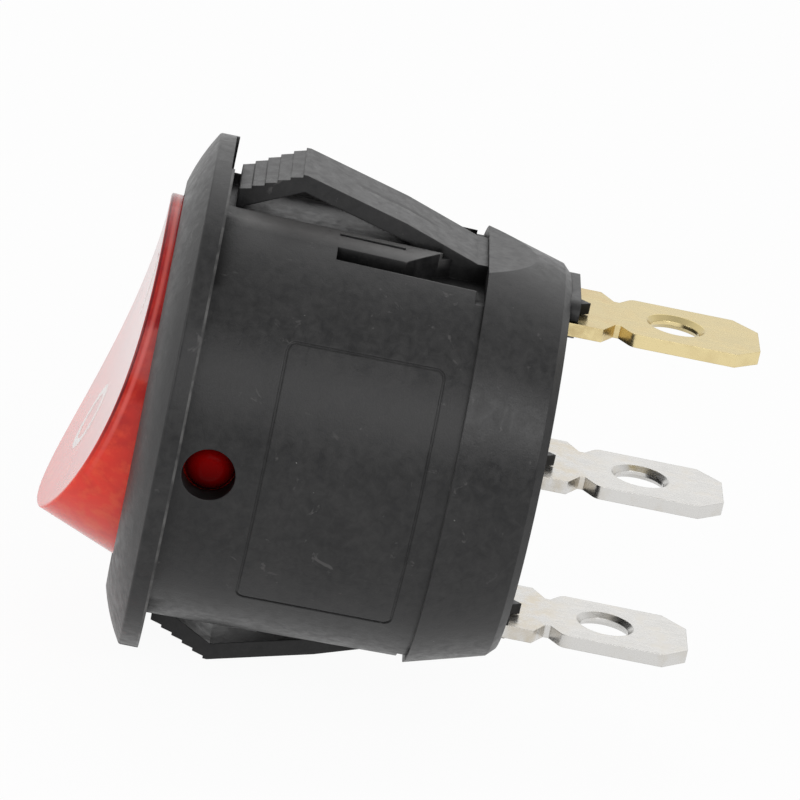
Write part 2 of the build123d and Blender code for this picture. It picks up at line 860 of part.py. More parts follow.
lamp_electrodes.part.label = "lamp_electrodes"
export_step(lamp_electrodes.part, "parts/lamp_electrodes.step")


# Wires and resistor, drawn in the rocker's own frame

def bent_wire(label, points):
    """Round wire along points of the rocker's frame, with a bend at each corner."""
    with BuildPart() as wire:
        with BuildLine() as route:
            FilletPolyline(
                *[rocker_plane.from_local_coords(Vector(*point)) for point in points],
                radius=wire_bend,
            )
        with BuildSketch(Plane(origin=route.line @ 0, z_dir=route.line % 0)):
            Circle(wire_r)
        sweep(path=route.line)
    wire.part.label = label
    return wire


wire_start = electrode_end_x + seat_gap
tail_x = stem_r + tail_run
resistor_end = resistor_length / 2 + seat_gap

lamp_lead = bent_wire(
    "lamp_lead",
    [
        (wire_start, lead_y, lamp_h),
        (lead_x, lead_y, lamp_h),
        (lead_x, lead_y, lead_h),
        (lead_x / 2, spring_seat_y, lead_h),
        (-shelf_width / 2, spring_seat_y, lead_h),
    ],
)
export_step(lamp_lead.part, "parts/lamp_lead.step")

link_wire = bent_wire(
    "link_wire",
    [
        (wire_start, link_y, lamp_h),
        (link_x, link_y, lamp_h),
        (link_x, resistor_y, lamp_h),
        (resistor_end, resistor_y, lamp_h),
    ],
)
export_step(link_wire.part, "parts/link_wire.step")

resistor_lead = bent_wire(
    "resistor_lead",
    [
        (-resistor_end, resistor_y, lamp_h),
        (-tail_x, resistor_y, lamp_h),
        (-tail_x, 0, lamp_h),
        (plunger_r / 2, 0, lamp_h),
    ],
)
export_step(resistor_lead.part, "parts/resistor_lead.step")

sleeve_start = rocker_plane.from_local_coords(
    Vector(link_x, (link_y + resistor_y - sleeve_length) / 2, lamp_h)
)

with BuildPart() as wire_sleeve:
    with BuildSketch(Plane(origin=sleeve_start, z_dir=(0, tilt_sin, tilt_cos))):
        Circle(wire_r + wire_clearance + sleeve_wall)
        Circle(wire_r + wire_clearance, mode=Mode.SUBTRACT)
    extrude(amount=sleeve_length)

wire_sleeve.part.label = "wire_sleeve"
export_step(wire_sleeve.part, "parts/wire_sleeve.step")

resistor_centre = rocker_plane.from_local_coords(Vector(0, resistor_y, lamp_h))
resistor_section = Plane(origin=resistor_centre, x_dir=(1, 0, 0), z_dir=rocker_section.z_dir)

with BuildPart() as resistor:
    with BuildSketch(resistor_section):
        half = resistor_length / 2
        thick = resistor_dia / 2
        waist = thick - resistor_waist
        waist_end = half - resistor_cap - resistor_waist
        with BuildLine():
            right_half = [
                (half, 0),
                (half, thick - resistor_edge),
                (half - resistor_edge, thick),
                (half - resistor_cap, thick),
                (waist_end, waist),
            ]
            left_half = [(-x, r) for x, r in reversed(right_half)]
            Polyline(*right_half, *left_half, close=True)
        make_face()
    revolve(axis=Axis(resistor_centre, (1, 0, 0)))

resistor.part.label = "resistor"
export_step(resistor.part, "parts/resistor.step")
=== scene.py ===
import json
import math

import bmesh
import bpy
from mathutils import Matrix, Vector


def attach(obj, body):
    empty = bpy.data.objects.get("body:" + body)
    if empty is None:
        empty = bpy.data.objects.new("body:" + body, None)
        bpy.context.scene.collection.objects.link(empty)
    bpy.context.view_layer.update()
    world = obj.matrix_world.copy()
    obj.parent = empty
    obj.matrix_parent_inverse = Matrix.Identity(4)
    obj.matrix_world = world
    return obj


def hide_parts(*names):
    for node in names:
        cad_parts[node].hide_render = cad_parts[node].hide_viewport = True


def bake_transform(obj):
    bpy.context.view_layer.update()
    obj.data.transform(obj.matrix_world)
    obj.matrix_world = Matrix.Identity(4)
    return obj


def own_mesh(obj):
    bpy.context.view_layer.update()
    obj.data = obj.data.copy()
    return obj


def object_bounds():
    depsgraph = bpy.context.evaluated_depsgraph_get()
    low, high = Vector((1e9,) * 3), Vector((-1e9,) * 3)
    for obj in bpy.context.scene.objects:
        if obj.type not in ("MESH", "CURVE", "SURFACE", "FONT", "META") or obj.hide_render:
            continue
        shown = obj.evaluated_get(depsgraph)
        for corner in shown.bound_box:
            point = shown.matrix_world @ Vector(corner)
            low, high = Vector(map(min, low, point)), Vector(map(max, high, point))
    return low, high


# Panel rocker switch: finishes, the marks on the rocker, and a white studio round it
mm = 0.001

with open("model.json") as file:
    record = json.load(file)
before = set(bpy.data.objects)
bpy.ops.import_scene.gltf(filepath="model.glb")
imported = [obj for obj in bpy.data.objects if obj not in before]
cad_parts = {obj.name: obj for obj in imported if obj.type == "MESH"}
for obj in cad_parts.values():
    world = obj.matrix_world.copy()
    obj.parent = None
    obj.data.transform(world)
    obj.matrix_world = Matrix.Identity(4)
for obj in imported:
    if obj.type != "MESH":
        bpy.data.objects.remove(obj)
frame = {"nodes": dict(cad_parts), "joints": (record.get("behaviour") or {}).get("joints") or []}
nodes = frame["nodes"]
cadLow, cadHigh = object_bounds()
pivot = Vector(next(j for j in frame["joints"] if j["name"] == "rocker_pivot")["pos_m"])
print("frame loaded, nodes:", len(nodes))


# Small helpers for shader nodes, all in millimetres on the part

def newMaterial(name):
    material = bpy.data.materials.new(name)
    material.use_nodes = True
    tree = material.node_tree
    tree.nodes.clear()
    output = tree.nodes.new("ShaderNodeOutputMaterial")
    shader = tree.nodes.new("ShaderNodeBsdfPrincipled")
    tree.links.new(shader.outputs["BSDF"], output.inputs["Surface"])
    return material, tree, shader


def placeInMm(tree, stretch=(1, 1, 1)):
    coords = tree.nodes.new("ShaderNodeTexCoord")
    mapping = tree.nodes.new("ShaderNodeMapping")
    mapping.inputs["Scale"].default_value = [s / mm for s in stretch]
    tree.links.new(coords.outputs["Object"], mapping.inputs["Vector"])
    return mapping.outputs["Vector"]


def noise(tree, place, scale, detail=3.0, rough=0.55, twist=0.0):
    node = tree.nodes.new("ShaderNodeTexNoise")
    node.inputs["Scale"].default_value = scale
    node.inputs["Detail"].default_value = detail
    node.inputs["Roughness"].default_value = rough
    node.inputs["Distortion"].default_value = twist
    tree.links.new(place, node.inputs["Vector"])
    return node.outputs["Fac"]


def spread(tree, value, low, high, toLow=0.0, toHigh=1.0):
    node = tree.nodes.new("ShaderNodeMapRange")
    node.inputs["From Min"].default_value = low
    node.inputs["From Max"].default_value = high
    node.inputs["To Min"].default_value = toLow
    node.inputs["To Max"].default_value = toHigh
    tree.links.new(value, node.inputs["Value"])
    return node.outputs["Result"]


def fadeOut(tree, value, low, high):
    return spread(tree, value, low, high, 1.0, 0.0)


def sums(tree, operation, a, b):
    node = tree.nodes.new("ShaderNodeMath")
    node.operation = operation
    for socket, value in zip(node.inputs, (a, b)):
        if isinstance(value, (int, float)):
            socket.default_value = value
        else:
            tree.links.new(value, socket)
    return node.outputs["Value"]


def product(tree, first, *others):
    for value in others:
        first = sums(tree, "MULTIPLY", first, value)
    return first


def mixColour(tree, share, a, b):
    node = tree.nodes.new("ShaderNodeMix")
    node.data_type = "RGBA"
    for name, value in (("A", a), ("B", b)):
        socket = next(s for s in node.inputs if s.name == name and s.type == "RGBA")
        if isinstance(value, tuple):
            socket.default_value = (*value, 1.0)
        else:
            tree.links.new(value, socket)
    tree.links.new(share, node.inputs["Factor"])
    return next(s for s in node.outputs if s.type == "RGBA")


def bump(tree, height, depth, normal=None):
    node = tree.nodes.new("ShaderNodeBump")
    node.inputs["Distance"].default_value = depth * mm
    tree.links.new(height, node.inputs["Height"])
    if normal is not None:
        tree.links.new(normal, node.inputs["Normal"])
    return node.outputs["Normal"]


shadeSamples = 4  # of rounded edges and dark slits


def softEdge(tree, radius):
    node = tree.nodes.new("ShaderNodeBevel")
    node.samples = shadeSamples
    node.inputs["Radius"].default_value = radius * mm
    return node.outputs["Normal"]


def positionOf(tree, axis):
    coords = tree.nodes.new("ShaderNodeTexCoord")
    split = tree.nodes.new("ShaderNodeSeparateXYZ")
    tree.links.new(coords.outputs["Object"], split.inputs["Vector"])
    return sums(tree, "MULTIPLY", split.outputs[axis], 1 / mm)


def offCentre(tree, axis):
    return sums(tree, "ABSOLUTE", positionOf(tree, axis), 0)


def levelness(tree):
    # 1 on a face that looks straight up or down, 0 on an upright one
    coords = tree.nodes.new("ShaderNodeTexCoord")
    split = tree.nodes.new("ShaderNodeSeparateXYZ")
    tree.links.new(coords.outputs["Normal"], split.inputs["Vector"])
    return sums(tree, "ABSOLUTE", split.outputs["Z"], 0)


def towards(tree, output, direction):
    coords = tree.nodes.new("ShaderNodeTexCoord")
    dot = tree.nodes.new("ShaderNodeVectorMath")
    dot.operation = "DOT_PRODUCT"
    dot.inputs[1].default_value = direction
    tree.links.new(coords.outputs[output], dot.inputs[0])
    return dot.outputs["Value"]


def dress(nodeName, material):
    for slot in nodes[nodeName].material_slots:
        slot.link = "OBJECT"
        slot.material = material


# Housing: charcoal nylon, satin and mottled, with a sink line on each strap, smudges and specks,
# painted shade in the slits, a painted lit band along each pocket and a painted highlight on the
# bezel's back edge.
# Each noise is scale, detail, roughness and distortion, and each range starts and ends a fade
nylonLook = {
    "dark": (0.0085, 0.0085, 0.0092),
    "pale": (0.0265, 0.0260, 0.0262),
    "paleRange": (0.50, 0.92),
    "cloud": (0.5, 3),
    "cloudShare": 0.4,
    "mottle": (2.1, 5, 0.62, 0.4),
    "grain": (14, 3, 0.6),
    "smudge": (0.062, 0.060, 0.060),
    "smudges": (0.95, 4, 0.62, 0.9),
    "smudgeRange": (0.66, 0.73),
    "speck": (0.26, 0.26, 0.25),
    "specks": (2.7, 2, 0.5, 0.8),
    "speckRange": (0.79, 0.81),
    "roughness": (0.29, 0.46),
    "roughRange": (0.35, 0.7),
    "specular": 0.35,
    "lightBend": 1.53,
    "grainDepth": 0.006,
    "mottleDepth": 0.010,
    "waveDepth": 0.012,
    "edgeRadius": 0.08,
}
sinkMark = {
    "colour": (0.004, 0.004, 0.004),
    "half": 0.35,
    "start": (5.2, 6.4),
    "end": (8.6, 9.4),
    "above": 9.6,
    "share": 0.45,
    "depth": 0.05,
}
paintedLightBand = {
    "colour": (0.105, 0.103, 0.102),
    "inner": (2.1, 2.3),
    "outer": (3.1, 3.7),
    "front": (0.1, 0.9),
    "back": (9.0, 11.2),
    "height": (8.6, 8.9),
    "level": (0.80, 0.90),
    "pocketWall": 2.5,
}
slitShade = {
    "colour": (0.002, 0.002, 0.002),
    "tint": (0.15, 0.15, 0.15),
    "dulling": 0.4,
    "reach": 1.5,
    "openness": (0.42, 0.80),
    "side": (3.1, 3.3),
    "root": (8.5, 9.3),
    "height": (7.1, 7.4),
}
edgeHighlightLine = {
    "colour": (0.105, 0.104, 0.102),
    "radius": 11.25,
    "front": (-0.12, -0.10),
    "back": 0.05,
    "patches": (0.8, 4, 0.6),
    "patchRange": (0.42, 0.62),
    "least": 0.15,
}


def sinkLine(tree):
    across = fadeOut(tree, offCentre(tree, "X"), 0.0, sinkMark["half"])
    y = positionOf(tree, "Y")
    end = fadeOut(tree, y, *sinkMark["end"])
    lengthwise = product(tree, spread(tree, y, *sinkMark["start"]), end)
    onStrap = sums(tree, "GREATER_THAN", offCentre(tree, "Z"), sinkMark["above"])
    return product(tree, across, lengthwise, onStrap)


def paintedLightByPockets(tree):
    # Painted light: the barrel is painted paler along each pocket, on faces that look up as if lit
    # from overhead, but not inside the slits
    band = paintedLightBand
    x = offCentre(tree, "X")
    y = positionOf(tree, "Y")
    outer = fadeOut(tree, x, *band["outer"])
    beside = product(tree, spread(tree, x, *band["inner"]), outer)
    back = fadeOut(tree, y, *band["back"])
    lengthwise = product(tree, spread(tree, y, *band["front"]), back)
    onTop = spread(tree, offCentre(tree, "Z"), *band["height"])
    facesUp = spread(tree, levelness(tree), *band["level"])
    pocketWall = sums(tree, "LESS_THAN", x, band["pocketWall"])
    return product(tree, beside, lengthwise, onTop, sums(tree, "MAXIMUM", facesUp, pocketWall))


def paintedSlitShade(tree):
    # Painted shade: nearly black inside the slits and under the roots of the straps, wherever
    # ambient occlusion finds them closed in
    corners = tree.nodes.new("ShaderNodeAmbientOcclusion")
    corners.samples = shadeSamples
    corners.inputs["Distance"].default_value = slitShade["reach"] * mm
    side = spread(tree, offCentre(tree, "X"), *slitShade["side"])
    root = spread(tree, positionOf(tree, "Y"), *slitShade["root"])
    onTop = spread(tree, offCentre(tree, "Z"), *slitShade["height"])
    shade = fadeOut(tree, corners.outputs["AO"], *slitShade["openness"])
    return product(tree, sums(tree, "MAXIMUM", side, root), onTop, shade)


def paintedBezelHighlight(tree):
    # Painted highlight: a thin pale line along the bezel's back edge, where its rounded edge would
    # catch the light
    x, z = offCentre(tree, "X"), offCentre(tree, "Z")
    square = sums(tree, "ADD", product(tree, x, x), product(tree, z, z))
    atRim = sums(tree, "GREATER_THAN", square, edgeHighlightLine["radius"] ** 2)
    y = positionOf(tree, "Y")
    back = sums(tree, "LESS_THAN", y, edgeHighlightLine["back"])
    line = product(tree, spread(tree, y, *edgeHighlightLine["front"]), back)
    patches = noise(tree, placeInMm(tree), *edgeHighlightLine["patches"])
    patchy = spread(tree, patches, *edgeHighlightLine["patchRange"], edgeHighlightLine["least"], 1.0)
    return product(tree, atRim, line, patchy)


def charcoalNylon():
    look = nylonLook
    material, tree, shader = newMaterial("charcoal nylon")
    place = placeInMm(tree)
    cloud = noise(tree, place, *look["cloud"])
    mottle = noise(tree, place, *look["mottle"])
    smudges = spread(tree, noise(tree, place, *look["smudges"]), *look["smudgeRange"])
    specks = spread(tree, noise(tree, place, *look["specks"]), *look["speckRange"])
    sink = sinkLine(tree)
    paintedShade = paintedSlitShade(tree)
    paleness = sums(tree, "ADD", product(tree, cloud, look["cloudShare"]), mottle)
    paleness = spread(tree, paleness, *look["paleRange"])
    colour = mixColour(tree, paleness, look["dark"], look["pale"])
    for share, over in (
        (product(tree, sink, sinkMark["share"]), sinkMark["colour"]),
        # painted light: a paler band beside each pocket
        (paintedLightByPockets(tree), paintedLightBand["colour"]),
        # painted highlight along the bezel's back edge
        (paintedBezelHighlight(tree), edgeHighlightLine["colour"]),
        (smudges, look["smudge"]),
        (specks, look["speck"]),
        # painted shade in the slits and under the strap roots
        (paintedShade, slitShade["colour"]),
    ):
        colour = mixColour(tree, share, colour, over)
    tree.links.new(colour, shader.inputs["Base Color"])
    rough = spread(tree, mottle, *look["roughRange"], *look["roughness"])
    rough = sums(tree, "ADD", rough, product(tree, paintedShade, slitShade["dulling"]))
    tree.links.new(rough, shader.inputs["Roughness"])
    tint = mixColour(tree, paintedShade, (1.0, 1.0, 1.0), slitShade["tint"])
    tree.links.new(tint, shader.inputs["Specular Tint"])
    shader.inputs["Specular IOR Level"].default_value = look["specular"]
    shader.inputs["IOR"].default_value = look["lightBend"]
    normal = bump(tree, cloud, look["waveDepth"], softEdge(tree, look["edgeRadius"]))
    normal = bump(tree, mottle, look["mottleDepth"], normal)
    normal = bump(tree, product(tree, sink, -1.0), sinkMark["depth"], normal)
    normal = bump(tree, noise(tree, place, *look["grain"]), look["grainDepth"], normal)
    tree.links.new(normal, shader.inputs["Normal"])
    return material


# The rocker's scooped face: its tilt in degrees, then its depth from the pivot and its radius in mm
rockerFace = {"tilt": 12.5, "valley": 4.68, "scoop": 30.0}


def faceAxes():
    tilt = math.radians(rockerFace["tilt"])
    up = Vector((0, math.sin(tilt), math.cos(tilt)))
    out = Vector((0, -math.cos(tilt), math.sin(tilt)))
    return up, out


# Rocker: translucent red, deeper at the top, its face polished, its pin ends painted dark as shade
# in their holes, and a painted dark line and highlight under the face's edge
redLook = {
    "deep": (0.42, 0.005, 0.009),
    "bright": (0.96, 0.045, 0.020),
    "brightEnd": (-8.0, 5.0),
    "brightRange": (0.45, 1.25),
    "patch": (0.98, 0.100, 0.035),
    "patches": (1.6, 4, 0.6),
    "patchRange": (0.45, 0.7),
    "cloud": (0.55, 3, 0.5, 0.6),
    "haze": (5.0, 4, 0.6),
    "hazeRange": (0.3, 0.75),
    "roughness": (0.09, 0.18),
    "specular": 0.36,
    "lightBend": 1.5,
    "dullTop": (6.0, 8.5, 1.0, 0.35),
    "faceRange": (0.75, 0.92),
    "faceCoat": 0.55,
    "coatRoughness": 0.12,
    "glow": 0.35,
    "glowReach": (1.6, 0.35, 0.2),
    "waveDepth": 0.012,
    "edgeRadius": 0.08,
}
pinShadeLook = {
    "bright": (0.30, 0.0020, 0.0020),
    "dark": (0.030, 0.0001, 0.0001),
    "shade": (-0.9, 0.9),
    "reach": (8.6, 8.9),
    "shine": 0.05,
}
paintedRimLook = {
    "dark": (0.17, 0.002, 0.004),
    "darkDepth": (0.10, 0.16),
    "light": (0.98, 0.200, 0.170),
    "lightDepth": (0.24, 0.32),
    "lightEnd": (0.40, 0.50),
    "lightShare": 0.6,
    "height": (-2.5, 1.5),
}


def belowFace(tree):
    # Depth under the scooped face, in mm, at any point on the wall
    readings = []
    for axis in faceAxes():
        fromPivot = sums(tree, "SUBTRACT", towards(tree, "Object", axis), pivot.dot(axis))
        readings.append(sums(tree, "MULTIPLY", fromPivot, 1 / mm))
    v, height = readings
    rise = product(tree, v, v, 0.5 / rockerFace["scoop"])
    return sums(tree, "SUBTRACT", sums(tree, "ADD", rise, rockerFace["valley"]), height)


def paintedRimLines(tree, onFace):
    # Painted reflection and highlight: a dark line under the edge of the face, then a light streak,
    # both on the upper half only
    depth = belowFace(tree)
    onWall = fadeOut(tree, onFace, 0, 1)
    wall = product(tree, onWall, spread(tree, positionOf(tree, "Z"), *paintedRimLook["height"]))
    dark = product(tree, wall, fadeOut(tree, depth, *paintedRimLook["darkDepth"]))
    paintedStreak = product(
        tree, wall,
        spread(tree, depth, *paintedRimLook["lightDepth"]),
        fadeOut(tree, depth, *paintedRimLook["lightEnd"]),
    )
    return dark, product(tree, paintedStreak, paintedRimLook["lightShare"])


def translucentRed():
    look = redLook
    material, tree, shader = newMaterial("translucent red")
    place = placeInMm(tree)
    z = positionOf(tree, "Z")
    cloud = noise(tree, place, *look["cloud"])
    haze = noise(tree, place, *look["haze"])
    onFace = spread(tree, towards(tree, "Normal", faceAxes()[1]), *look["faceRange"])
    inPin = spread(tree, offCentre(tree, "X"), *pinShadeLook["reach"])
    lowEnd = fadeOut(tree, z, *look["brightEnd"])
    share = spread(tree, sums(tree, "ADD", lowEnd, cloud), *look["brightRange"])
    patches = spread(tree, noise(tree, place, *look["patches"]), *look["patchRange"])
    # painted dark reflection line and painted highlight streak along the face's edge
    dark, light = paintedRimLines(tree, onFace)
    # painted shade: the pin ends darker towards the bottom and lighter at the top
    paintedPinShade = mixColour(tree, spread(tree, z, *pinShadeLook["shade"]), pinShadeLook["dark"], pinShadeLook["bright"])
    colour = mixColour(tree, share, look["deep"], look["bright"])
    colour = mixColour(tree, product(tree, share, patches), colour, look["patch"])
    colour = mixColour(tree, light, colour, paintedRimLook["light"])
    colour = mixColour(tree, dark, colour, paintedRimLook["dark"])
    colour = mixColour(tree, inPin, colour, paintedPinShade)
    tree.links.new(colour, shader.inputs["Base Color"])
    rough = spread(tree, haze, *look["hazeRange"], *look["roughness"])
    tree.links.new(rough, shader.inputs["Roughness"])
    pinShine = spread(tree, inPin, 0, 1, 1.0, pinShadeLook["shine"])
    shine = product(tree, spread(tree, z, *look["dullTop"]), pinShine)
    tint = mixColour(tree, shine, (0.0, 0.0, 0.0), (1.0, 1.0, 1.0))
    tree.links.new(tint, shader.inputs["Specular Tint"])
    shader.inputs["Specular IOR Level"].default_value = look["specular"]
    shader.inputs["IOR"].default_value = look["lightBend"]
    tree.links.new(product(tree, onFace, look["faceCoat"]), shader.inputs["Coat Weight"])
    shader.inputs["Coat Roughness"].default_value = look["coatRoughness"]
    glow = product(tree, fadeOut(tree, inPin, 0, 1), look["glow"])
    tree.links.new(glow, shader.inputs["Subsurface Weight"])
    shader.inputs["Subsurface Radius"].default_value = look["glowReach"]
    shader.inputs["Subsurface Scale"].default_value = mm
    normal = bump(tree, cloud, look["waveDepth"], softEdge(tree, look["edgeRadius"]))
    tree.links.new(normal, shader.inputs["Normal"])
    return material


# Tabs: plated sheet, with rolling lines along the blade and warmer metal at the root
tabLooks = {
    "silver plate": {
        "plate": (0.62, 0.61, 0.59), "cut": (0.72, 0.71, 0.69), "stain": (0.58, 0.50, 0.37),
        "rough": (0.20, 0.36),
    },
    "pale brass": {
        "plate": (0.61, 0.50, 0.25), "cut": (0.84, 0.70, 0.38), "stain": (0.54, 0.40, 0.19),
        "rough": (0.18, 0.34),
    },
}
tabWear = {
    "lines": (9, 4, 0.6),
    "lineStretch": (1, 0.06, 1),
    "lineDepth": 0.003,
    "blotches": (1.1, 4, 0.6),
    "blotchDepth": 0.015,
    "root": (17.2, 19.0),
    "rootRange": (0.40, 0.62),
    "rootShare": 0.6,
    "tarnishRange": (0.5, 0.75),
    "tarnishShare": 0.3,
    "roughRange": (0.35, 0.65),
    "flat": (0.3, 0.6),
    "edgeRadius": 0.05,
}


def platedSheet(name):
    look = tabLooks[name]
    material, tree, shader = newMaterial(name)
    lines = noise(tree, placeInMm(tree, stretch=tabWear["lineStretch"]), *tabWear["lines"])
    blotch = noise(tree, placeInMm(tree), *tabWear["blotches"])
    nearRoot = fadeOut(tree, positionOf(tree, "Y"), *tabWear["root"])
    rootStain = spread(tree, blotch, *tabWear["rootRange"])
    stain = product(tree, nearRoot, rootStain, tabWear["rootShare"])
    tarnish = product(tree, spread(tree, blotch, *tabWear["tarnishRange"]), tabWear["tarnishShare"])
    flat = spread(tree, levelness(tree), *tabWear["flat"])  # not the cut edges
    colour = mixColour(tree, flat, look["cut"], look["plate"])
    colour = mixColour(tree, sums(tree, "MAXIMUM", stain, tarnish), colour, look["stain"])
    tree.links.new(colour, shader.inputs["Base Color"])
    shader.inputs["Metallic"].default_value = 1.0
    average = sums(tree, "ADD", product(tree, lines, 0.5), product(tree, blotch, 0.5))
    rough = spread(tree, average, *tabWear["roughRange"], *look["rough"])
    tree.links.new(rough, shader.inputs["Roughness"])
    normal = bump(tree, lines, tabWear["lineDepth"], softEdge(tree, tabWear["edgeRadius"]))
    normal = bump(tree, blotch, tabWear["blotchDepth"], normal)
    tree.links.new(normal, shader.inputs["Normal"])
    return material


# Inner metal: turned, rolled and drawn pieces
metalLooks = {
    "contact silver": {
        "bright": (0.86, 0.85, 0.82), "dull": (0.66, 0.65, 0.62),
        "rough": (0.25, 0.4), "stretch": (1, 1, 1),
    },
    "copper strip": {
        "bright": (0.80, 0.50, 0.34), "dull": (0.58, 0.34, 0.22),
        "rough": (0.28, 0.42), "stretch": (1, 1, 0.08),
    },
    "turned brass": {
        "bright": (0.82, 0.66, 0.36), "dull": (0.62, 0.47, 0.24),
        "rough": (0.22, 0.36), "stretch": (0.3, 6, 0.3),
    },
    "spring wire": {
        "bright": (0.66, 0.66, 0.67), "dull": (0.42, 0.42, 0.43),
        "rough": (0.26, 0.4), "stretch": (1, 3, 1),
    },
    "nickel rod": {
        "bright": (0.62, 0.61, 0.58), "dull": (0.46, 0.45, 0.43),
        "rough": (0.3, 0.45), "stretch": (0.3, 1, 1),
    },
    "tinned wire": {
        "bright": (0.80, 0.79, 0.77), "dull": (0.58, 0.58, 0.57),
        "rough": (0.24, 0.38), "stretch": (1, 1, 1),
    },
}
metalWear = {
    "wear": (1.6, 4),
    "lines": (8, 3),
    "dullRange": (0.7, 1.3),
    "roughRange": (0.3, 0.7),
    "lineDepth": 0.004,
}


def innerMetal(name):
    look = metalLooks[name]
    material, tree, shader = newMaterial(name)
    wear = noise(tree, placeInMm(tree), *metalWear["wear"])
    lines = noise(tree, placeInMm(tree, stretch=look["stretch"]), *metalWear["lines"])
    share = spread(tree, sums(tree, "ADD", wear, lines), *metalWear["dullRange"])
    colour = mixColour(tree, share, look["bright"], look["dull"])
    rough = spread(tree, lines, *metalWear["roughRange"], *look["rough"])
    tree.links.new(colour, shader.inputs["Base Color"])
    tree.links.new(rough, shader.inputs["Roughness"])
    shader.inputs["Metallic"].default_value = 1.0
    tree.links.new(bump(tree, lines, metalWear["lineDepth"]), shader.inputs["Normal"])
    return material


# Inner parts that aren't metal
softLooks = {
    "white sleeve": {"base": (0.78, 0.77, 0.73), "shade": (0.60, 0.58, 0.53), "rough": (0.45, 0.6)},
    "tan lacquer": {"base": (0.66, 0.50, 0.30), "shade": (0.50, 0.36, 0.20), "rough": (0.25, 0.4)},
}
softWear = {"cloud": (2.4, 4), "shadeRange": (0.35, 0.7), "roughRange": (0.3, 0.7), "depth": 0.01}


def lacquer(name):
    look = softLooks[name]
    material, tree, shader = newMaterial(name)
    cloud = noise(tree, placeInMm(tree), *softWear["cloud"])
    share = spread(tree, cloud, *softWear["shadeRange"])
    rough = spread(tree, cloud, *softWear["roughRange"], *look["rough"])
    tree.links.new(mixColour(tree, share, look["base"], look["shade"]), shader.inputs["Base Color"])
    tree.links.new(rough, shader.inputs["Roughness"])
    tree.links.new(bump(tree, cloud, softWear["depth"]), shader.inputs["Normal"])
    return material


glassLook = {
    "clear": (0.97, 0.95, 0.92),
    "smoky": (0.90, 0.86, 0.80),
    "cloud": (0.9, 3),
    "rough": (0.02, 0.08),
    "roughRange": (0.3, 0.7),
    "lightBend": 1.5,
    "depth": 0.02,
}


def lampGlass():
    look = glassLook
    material, tree, shader = newMaterial("lamp glass")
    cloud = noise(tree, placeInMm(tree), *look["cloud"])
    colour = mixColour(tree, cloud, look["clear"], look["smoky"])
    rough = spread(tree, cloud, *look["roughRange"], *look["rough"])
    tree.links.new(colour, shader.inputs["Base Color"])
    tree.links.new(rough, shader.inputs["Roughness"])
    shader.inputs["Transmission Weight"].default_value = 1.0
    shader.inputs["IOR"].default_value = look["lightBend"]
    tree.links.new(bump(tree, cloud, look["depth"]), shader.inputs["Normal"])
    return material


nylon = charcoalNylon()
red = translucentRed()
silver = platedSheet("silver plate")
brass = platedSheet("pale brass")
metals = {name: innerMetal(name) for name in metalLooks}

dress("housing", nylon)
dress("rocker", red)
dress("supply_terminal", silver)
dress("load_terminal", silver)
dress("lamp_terminal", brass)
for nodeName, metalName in (
    ("fixed_contact", "contact silver"),
    ("moving_contact", "contact silver"),
    ("contact_bar", "copper strip"),
    ("plunger", "turned brass"),
    ("plunger_spring", "spring wire"),
    ("lamp_spring", "spring wire"),
    ("lamp_electrodes", "nickel rod"),
    ("lamp_lead", "tinned wire"),
    ("link_wire", "tinned wire"),
    ("resistor_lead", "tinned wire"),
):
    dress(nodeName, metals[metalName])
dress("wire_sleeve", lacquer("white sleeve"))
dress("resistor", lacquer("tan lacquer"))
dress("lamp_bulb", lampGlass())
print("finishes made")


def coilOf(nodeName):
    original = nodes[nodeName]
    coil = bpy.data.objects.new(nodeName + "_coil", original.data.copy())
    bpy.context.scene.collection.objects.link(coil)
    coil.data.materials.clear()
    coil.data.materials.append(metals["spring wire"])
    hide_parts(nodeName)
    return coil


def springs():
    lampCoil = coilOf("lamp_spring")
    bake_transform(lampCoil)
    plungerCoil = coilOf("plunger_spring")
    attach(plungerCoil, "rocker_body")
    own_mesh(plungerCoil)


springs()
print("springs made")


# Off and on marks: a ring and a bar, printed on the scooped face of the rocker
markSizes = {
    "height": 0.02,
    "line": 0.38,
    "ramp": 0.10,
    "ringAt": -3.15,
    "ringRadius": 1.55,
    "ringSteps": 48,
    "barAt": 3.6,
    "barHalf": 1.4,
    "barSteps": 12,
}
markLook = {
    "white": (0.95, 0.92, 0.90),
    "thin": (0.93, 0.74, 0.71),
    "thinRange": (0.4, 0.75),
    "cloud": (7, 4),
    "rough": (0.3, 0.45),
    "roughRange": (0.3, 0.7),
    "depth": 0.006,
    "coat": 0.5,
    "coatRoughness": 0.15,
}


def facePoint(x, v, lift):
    up, out = faceAxes()
    scoop = rockerFace["scoop"]
    height = rockerFace["valley"] + scoop - math.sqrt(scoop ** 2 - v ** 2) + lift
    return pivot + (Vector((x, 0, 0)) + up * v + out * height) * mm


def inkLine(name, edges, closed):
    # Four edges across a line of ink: foot, brow, brow and foot, with the feet just inside the face
    height = markSizes["height"]
    lifts = (-height, height, height, -height)
    mesh = bpy.data.meshes.new(name)
    shape = bmesh.new()
    rings = [
        [shape.verts.new(facePoint(*point, lift)) for point, lift in zip(points, lifts)]
        for points in zip(*edges)
    ]
    pairs = list(zip(rings, rings[1:]))
    if closed:
        pairs.append((rings[-1], rings[0]))
    for first, second in pairs:
        for i in range(4):
            j = (i + 1) % 4
            shape.faces.new((first[i], first[j], second[j], second[i]))
    if not closed:
        shape.faces.new(rings[0])
        shape.faces.new(list(reversed(rings[-1])))
    bmesh.ops.recalc_face_normals(shape, faces=shape.faces)
    shape.to_mesh(mesh)
    shape.free()
    piece = bpy.data.objects.new(name, mesh)
    bpy.context.scene.collection.objects.link(piece)
    return piece


